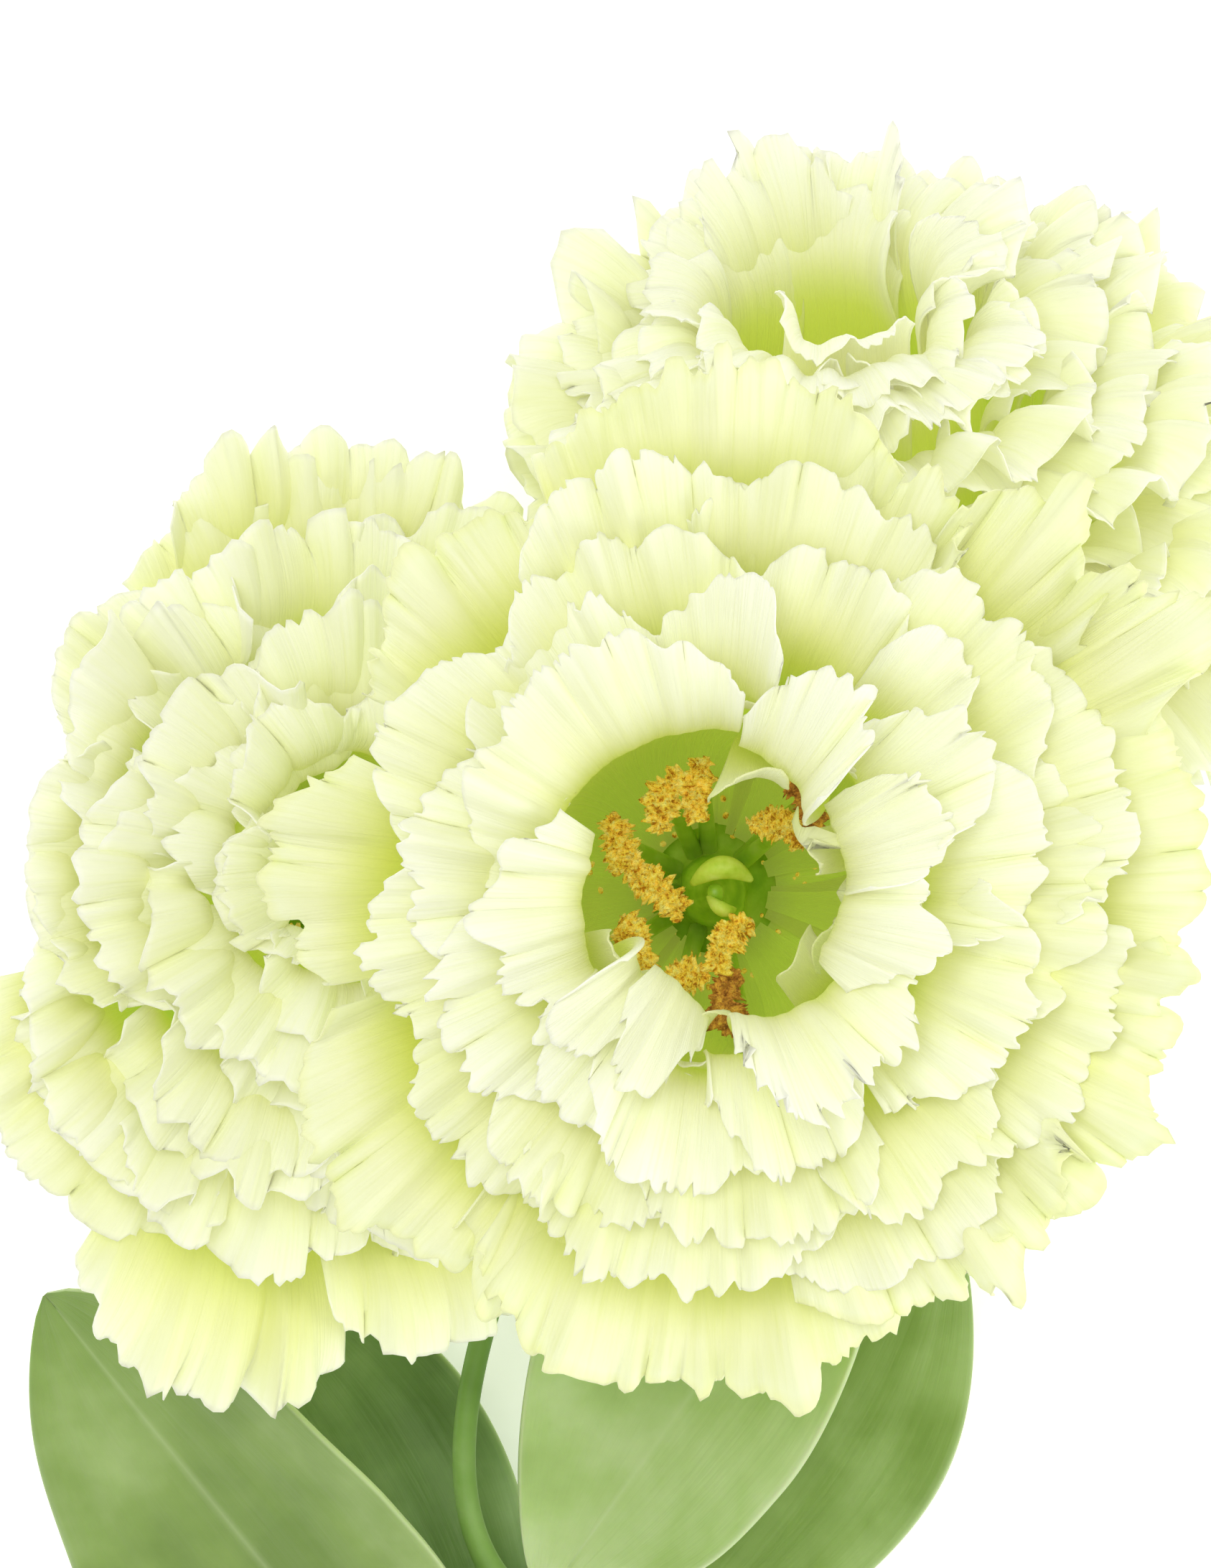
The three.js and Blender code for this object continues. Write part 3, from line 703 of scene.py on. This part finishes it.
# (angle, reach, heading) of each ripe anther round the front throat, where two more are spent
front_stamens = [
    (96, 8.4, 82), (116, 8.0, 72), (151, 8.0, 118), (184, 5.0, -40),
    (211, 8.2, -78), (250, 8.0, 20), (288, 4.6, 55), (44, 6.7, -22),
]
for number, (angle, reach, heading) in enumerate(front_stamens, start=1):
    height = 15 + 0.6 * (number % 3)
    anther = add_stamen(front, number, angle, reach, heading, ripe_crust, height)
    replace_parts(anther, f"front_stamen_{number}")
add_stamen(front, 9, 47, 9.3, 100, spent_crust, height=15.6, length=4.4, bend=-0.7)
add_stamen(front, 10, 283, 9.0, 96, spent_crust, height=14, length=4.6, bend=0.8)
for bloom in (left, back):
    for number in range(1, 7):
        add_stamen(bloom, number, 60 * number + 20, 6.4, 60 * number + 95, ripe_crust)


# Pollen that has fallen into the throat: loose crumbs of a few tenths of a millimetre, clumps of sticky
# grains that cling to the threads and claws.
def add_crumbs(bloom, count, reach):
    """Small six-sided crumbs strewn over the lower bowl: the distance from the axis at random within reach,
    the height on the inner petals' claws there, which rise with its square."""
    rng = np.random.RandomState(9)
    parts = []
    for _ in range(count):
        angle = rng.uniform(0, 2 * np.pi)
        radius = rng.uniform(4.5, reach)
        height = 1.5 + 0.16 * max(0, radius - 5) ** 2
        size = rng.uniform(0.12, 0.3)
        t = np.linspace(-1, 1, 4)[:, None]
        way = unit(rng.normal(size=3))
        spot = np.array([radius * np.cos(angle), radius * np.sin(angle), height + size])
        parts.append(tube(bloom.place(spot + way * t * size), size / 1000 * np.array([0.6, 1, 0.9, 0.5]), 6))
    tissue_object(f"{bloom.name}_pollen_crumbs", parts, ripe_crust)


add_crumbs(front, 70, 10.5)


# Calyxes. The pedicel swells into a green cup that holds the petals' claws, and five narrow keeled sepals
# rise from its rim and lie along the outermost petals, drawn out to a thread at the tip.
calyx_skin = grown_green(
    "calyx, waxy mid green", [(0.3, "#7ba23f"), (0.5, "#93b856"), (0.7, "#b4cf7c")], 260, 0.45, 0.2, coat=0.1
)
BLADE_THICKNESS = 0.00045  # metres, of a sepal and of a leaf
cup_outline = [(1.5, -8), (2.4, -7), (5, -4.6), (7.4, -2.2), (8.3, -0.4), (7.9, 0.4), (7.2, -0.2), (3, -1)]
for bloom in (front, left, back):
    cup = turned(cup_outline, 60)
    parts = [close_rings(bloom.place(cup))]
    for k in range(5):
        angle = np.radians(72 * k + 18)
        out = np.array([np.cos(angle), np.sin(angle), 0])
        side = np.array([-np.sin(angle), np.cos(angle), 0])
        u, v = np.meshgrid(np.linspace(-1, 1, 13), np.linspace(0, 1, 40))
        spine = bowl(np.full_like(v, 1.16), 44.0, 0.36 * v, np.full_like(v, angle))
        half = 1.9 * (1 - v**1.6) * (0.75 + 0.6 * np.sin(np.pi * v**0.6)) + 0.12
        keel = 0.55 * np.exp(-((u / 0.28) ** 2)) * (1 - 0.7 * v)
        sepal = spine + side * (half * u)[..., None] + out * (keel - 0.35 * u**2)[..., None]
        sepal[..., 2] -= 0.25 * np.abs(u)
        parts.append(tissue_sheet(bloom.place(sepal), BLADE_THICKNESS))
    calyx = tissue_object(f"{bloom.name}_cup_and_sepals", parts, calyx_skin)
    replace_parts(calyx, f"{bloom.name}_calyx")


# Stem and pedicels: smooth round green shoots under a thin grey wax, faintly ribbed along. The stem is a cut
# length that lies on its lower end and rises to the fork, where the blooms' thin pedicels part from it. Its
# millimetres, and the leaves', are measured from the spot on the table under the front bloom's pistil.
PISTIL_FOOT = 45.24  # mm, the front pistil's lower end above that spot
low, high = (np.array(corner) * 1000 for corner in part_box("front_pistil"))
ground = np.array([(low[0] + high[0]) / 2, (low[1] + high[1]) / 2, low[2] - PISTIL_FOOT])


def smooth_path(knots, count):
    """A smooth curve through a few points: a Catmull-Rom blend of four neighbours at a time."""
    knots = np.array(knots, float)
    padded = np.concatenate([2 * knots[:1] - knots[1:2], knots, 2 * knots[-1:] - knots[-2:-1]])
    at = np.linspace(0, len(knots) - 1, count)
    first = np.minimum(at.astype(int), len(knots) - 2)
    t = (at - first)[:, None]
    a, b, c, d = (padded[first + k] for k in range(4))
    return 0.5 * (2 * b + (c - a) * t + (2 * a - 5 * b + 4 * c - d) * t**2 + (3 * b - 3 * c + d - a) * t**3)


def arc(points, count):
    """A cubic curve from its four corner points."""
    t = np.linspace(0, 1, count)[:, None]
    a, b, c, d = (np.array(point, float) for point in points)
    return (1 - t) ** 3 * a + 3 * (1 - t) ** 2 * t * b + 3 * (1 - t) * t**2 * c + t**3 * d


stem_greens = [(0.3, "#6f9440"), (0.5, "#86ab56"), (0.7, "#a5c37d")]
stem_skin = grown_green("stem, green under grey wax", stem_greens, 90, 0.5, 0.2, coat=0.08)
pith_greens = [(0.3, "#c9d3a0"), (0.5, "#dbe3bd"), (0.7, "#eef0d8")]
cut_pith = grown_green("cut end, pale wet pith", pith_greens, 900, 0.4, 0.4)

STEM_LENGTH = 225
FORK = np.array([-14, -58.5, 17])
CUT_END = np.array([-4, FORK[1] - STEM_LENGTH, 2.4])
stem_knots = [
    CUT_END,
    (-7, mix(CUT_END[1], FORK[1], 0.35), mix(CUT_END[2], FORK[2], 0.3)),
    (-12, mix(CUT_END[1], FORK[1], 0.7), mix(CUT_END[2], FORK[2], 0.66)),
    FORK,
]
stem_path = smooth_path(stem_knots, 240)
from_fork = STEM_LENGTH - np.linspace(0, STEM_LENGTH, 240)
# the stem swells at the three joints where leaves grow, has four low ribs, and ends in a dome at the fork
swollen = sum(0.35 * np.exp(-(((from_fork - below) / 5) ** 2)) for below in (20, 94, 160))
sides = 40
ribs = 1 + 0.025 * np.cos(4 * np.linspace(0, 2 * np.pi, sides, endpoint=False))[None, :]
dome = np.sqrt(np.clip(1 - ((5 - from_fork) / 5.2).clip(0) ** 2, 0, 1))
stem_radius = ((2.25 + swollen) * dome)[:, None] * ribs / 1000
stem = tissue_object("cut_stem", [tube((stem_path + ground) / 1000, stem_radius, sides)], stem_skin)
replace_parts(stem, "main_stem")
# the pale pith stands out of the cut by a fifth of a millimetre
pith_path = np.array([CUT_END + (0.003, -0.18, -0.012), CUT_END + (0, -0.08, -0.006), CUT_END])
pith = tube((pith_path + ground) / 1000, np.array([1.75, 1.85, 1.9]) / 1000, 32)
tissue_object("cut_end", [pith], cut_pith)

# for each bloom: where its pedicel parts from the stem, which way it sets off, and how straight it runs in
pedicels = {
    "front": (front, FORK + (-0.9, -5, 0.9), (-20, 14, 2), 24),
    "left": (left, (-13.6, -101, 14.3), (-8, 38, -20), 9),
    "back": (back, FORK + (1.1, -5, 0), (6, 26, 1), 12),
}
for name, (bloom, start, pull, last) in pedicels.items():
    end = bloom.seat - bloom.axis * 7.6  # just inside the foot of the calyx cup
    start = np.array(start) + ground
    path = arc([start, start + pull, end - bloom.axis * last, end], 90)
    t = np.linspace(0, 1, 90)
    radius = 1.0 + 0.6 * t**10 + 0.4 * (1 - t) ** 12
    pedicel = tissue_object(f"{name}_stalk", [tube(path / 1000, radius / 1000, 24)], stem_skin)
    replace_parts(pedicel, f"{name}_pedicel")


# Leaves: broad ovals without stalks that clasp the stem in pairs. The blade is thick, soft and matt under a
# grey-blue wax that rubs off, with a sunken midrib, side nerves that curve to the tip and a thin pale edge.
def leaf_green(name, deep, body, pale):
    """The chart's across value marks the midrib and the edge, pale against the blade, and side nerves run
    between them. A cloudy noise a centimetre or two across is the wax, which dulls the green in patches."""
    material = new_material(name)
    chart = node(material, "ShaderNodeUVMap", uv_map="chart")
    split = node(material, "ShaderNodeSeparateXYZ", [("Vector", chart, "UV")])
    place = node(material, "ShaderNodeTexCoord")
    cloud = node(material, "ShaderNodeTexNoise", [("Vector", place, "Object")], Scale=70.0, Detail=5.0)
    blade = ramp(material, cloud, "Fac", [(0.3, deep), (0.5, body), (0.75, pale)])
    off_rib = node(material, "ShaderNodeMath", [("Value", split, "X")], operation="SUBTRACT")
    off_rib.inputs[1].default_value = 0.5
    apart = node(material, "ShaderNodeMath", [("Value", off_rib, "Value")], operation="ABSOLUTE")
    midrib = [(0.0, "#8a8a8a"), (0.01, "#5a5a5a"), (0.024, "#000000")]
    edge = [(0.47, "#000000"), (0.49, "#555555"), (0.5, "#bbbbbb")]
    bright = ramp(material, apart, "Value", midrib + edge)
    ribbed = tinted(material, bright, "Color", blade, "Color", "#d5e3b4")
    stretch = node(material, "ShaderNodeMapping", [("Vector", chart, "UV")], Scale=(26, 2.5, 1))
    nerves = node(material, "ShaderNodeTexNoise", [("Vector", stretch, "Vector")], Scale=1.0, Detail=4.0)
    relief = node(material, "ShaderNodeBump", [("Height", nerves, "Fac")], Strength=0.35, Distance=0.0004)
    surface(
        material,
        [("Base Color", ribbed, "Result"), ("Normal", relief, "Normal")],
        Roughness=0.5,
        IOR=1.42,
        Subsurface_Weight=0.3,
        Subsurface_Radius=(0.6, 1.0, 0.2),
        Subsurface_Scale=0.001,
        Sheen_Weight=0.1,
        Sheen_Roughness=0.6,
    )
    return material


# One leaf green in three brightnesses. The lighter copy is painted light on the leaf that stands up by the
# blooms; the darker copy is painted shade on the leaf lying under the upper left leaf and the left bloom, and
# the foot leaf shares it.
fresh_leaf = leaf_green("leaf blade, fresh green", "#789544", "#8ca855", "#adc47e")
lit_leaf = leaf_green("leaf blade, young and pale", "#94b05c", "#aec87c", "#cddcab")
shaded_leaf = leaf_green("leaf blade, grey-green wax", "#6a8748", "#7f9d5c", "#a3ba84")


def leaf_blade(foot, heading, length, width, bulge, tip, cup, wave, twist, seed):
    """A blade on a curved midrib: half width follows the sine of the way along, narrow at the foot and drawn
    to a blunt tip, sides lifted by cup, a groove on the midrib, nerves as low ridges and a slow wave at the
    edge. Past its foot the blade turns about the midrib by twist, its right side upwards."""
    rng = np.random.RandomState(seed)
    rows, columns = 64, 41
    u, v = np.meshgrid(np.linspace(-1, 1, columns), np.linspace(0, 1, rows))
    heading = np.radians(heading)
    out = np.array([np.cos(heading), np.sin(heading), 0])
    foot = np.array(foot, float)
    middle = foot + out * 0.5 * length + (0, 0, bulge)
    end = foot + out * length
    end[2] = tip
    t = v[..., None]
    spine = (1 - t) ** 2 * foot + 2 * t * (1 - t) * middle + t**2 * end
    along = unit(2 * (1 - t) * (middle - foot) + 2 * t * (end - middle))
    side = unit(np.cross(along, np.array([0, 0, 1.0])))
    up = np.cross(side, along)
    turn = np.radians(twist) * ease(t * 2.2)
    side, up = side * np.cos(turn) + up * np.sin(turn), up * np.cos(turn) - side * np.sin(turn)
    full = np.sin(np.pi * v**1.05) ** 0.72
    half = width / 2 * (mix(0.16 * (1 - v), 1, full) + 0.014 * v)
    groove = -0.35 * np.exp(-((u / 0.05) ** 2)) * (1 - 0.6 * v)
    nerves = 0.09 * np.cos(2 * np.pi * 3.5 * np.abs(u) ** 0.9) * full
    ripple = wave * u**2 * np.sin(2 * np.pi * (2.2 * v + rng.uniform()) + 2.2 * u) * full
    lift = cup * (half * u) ** 2 / width + groove + nerves + ripple
    return spine + side * (half * u)[..., None] + up * lift[..., None]


LEAF_LENGTH, LEAF_WIDTH = 54, 31
FOOT_ASIDE, FOOT_RISE = 4.87, 3.2  # mm, a full step aside and up from the stem's middle to a leaf's foot
leaves = {
    # skin, mm below the fork, steps aside and up, heading, bulge, tip height, share of size, cup, wave, twist
    "upper_left_leaf": (fresh_leaf, 25, -1.5, -0.1, 129, 5, 18, 1.08, 0.3, 0.9, 33),
    "upper_right_leaf": (lit_leaf, 3, 0.1, 1, 55, 3, 25, 0.84, 1.2, 0.6, 18),
    "lower_left_leaf": (shaded_leaf, 24, -1, -0.9, 121, -4, 3, 1.0, 0.3, 0.7, -6),
    "lower_right_leaf": (fresh_leaf, 12, 1.2, -1.3, 56, -6, 2, 0.95, 0.4, 0.6, 0),
    "middle_left_leaf": (fresh_leaf, 92, -1.1, 0, 138, 3, 0.5, 1.0, 0.7, 0.8, 0),
    "middle_right_leaf": (fresh_leaf, 95, 1, 0, 40, 3, 0.5, 1.1, 0.7, 0.8, 0),
    "foot_leaf": (shaded_leaf, 160, -1.3, 0, 132, 3, 0.5, 0.9, 0.8, 0.7, 0),
}
for seed, (name, values) in enumerate(leaves.items()):
    skin, below, aside, rise, heading, bulge, tip, share, cup, wave, twist = values
    at = stem_path[np.argmin(np.abs(from_fork - below))]
    foot = at + (aside * FOOT_ASIDE, 0, rise * FOOT_RISE)
    length, width = share * LEAF_LENGTH, share * LEAF_WIDTH
    blade = leaf_blade(foot, heading, length, width, bulge, tip, cup, wave, twist, seed)
    part = tissue_sheet((blade + ground) / 1000, BLADE_THICKNESS)
    leaf = tissue_object(name + "_blade", [part], skin)
    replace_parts(leaf, name)


# Setting: a light table with an opal acrylic top, soft light from all round, a broad lamp over the blooms'
# upper left and a low one at their right, and the camera above the front bloom, looking straight down.
def add_table():
    """A flat square six metres wide, matt white and faintly lit from below, so that shadows stay pale."""
    mesh = bpy.data.meshes.new("table")
    mesh.from_pydata([(-3, -3, 0), (3, -3, 0), (3, 3, 0), (-3, 3, 0)], [], [(0, 1, 2, 3)])
    table = bpy.data.objects.new("table", mesh)
    bpy.context.scene.collection.objects.link(table)
    material = new_material("light table, opal acrylic sheet")
    place = node(material, "ShaderNodeTexCoord")
    grain = node(material, "ShaderNodeTexNoise", [("Vector", place, "Object")], Scale=900.0)
    body = ramp(material, grain, "Fac", [(0.3, "#fcfcfb"), (0.7, "#ffffff")])
    links = [("Base Color", body, "Color"), ("Emission Color", body, "Color")]
    surface(material, links, Roughness=0.8, Emission_Strength=0.4)
    mesh.materials.append(material)


add_table()

world = bpy.data.worlds.new("soft white room")
bpy.context.scene.world = world
world.use_nodes = True
room_light = world.node_tree.nodes["Background"].inputs
room_light["Color"].default_value = (1, 1, 0.99, 1)
room_light["Strength"].default_value = 0.72

FACE_HEIGHT = 34  # mm, of the front bloom's open face above its seat
face = (front.seat + (0, 0, FACE_HEIGHT)) / 1000


def add_lamp(name, where, size, power):
    """A square soft lamp, where metres away from the front bloom's face, that faces it."""
    lamp = bpy.data.lights.new(name, "AREA")
    lamp.size = size
    lamp.energy = power
    holder = bpy.data.objects.new(name, lamp)
    bpy.context.scene.collection.objects.link(holder)
    holder.location = face + where
    holder.rotation_euler = Vector(where).to_track_quat("Z", "Y").to_euler()


add_lamp("broad lamp", (-0.12, 0.15, 0.73), 0.36, 1.65)
add_lamp("low lamp", (0.6, -0.2, 0.25), 0.4, 1.2)

camera = bpy.data.cameras.new("camera")
camera.lens = 135
camera.sensor_width = 36
camera.clip_start = 0.01
holder = bpy.data.objects.new("camera", camera)
bpy.context.scene.collection.objects.link(holder)
holder.location = face + (-0.0088, 0.0087, 0.45)  # metres, a little to the upper left, so all three show
bpy.context.scene.camera = holder
bpy.context.scene.view_settings.view_transform = "Standard"
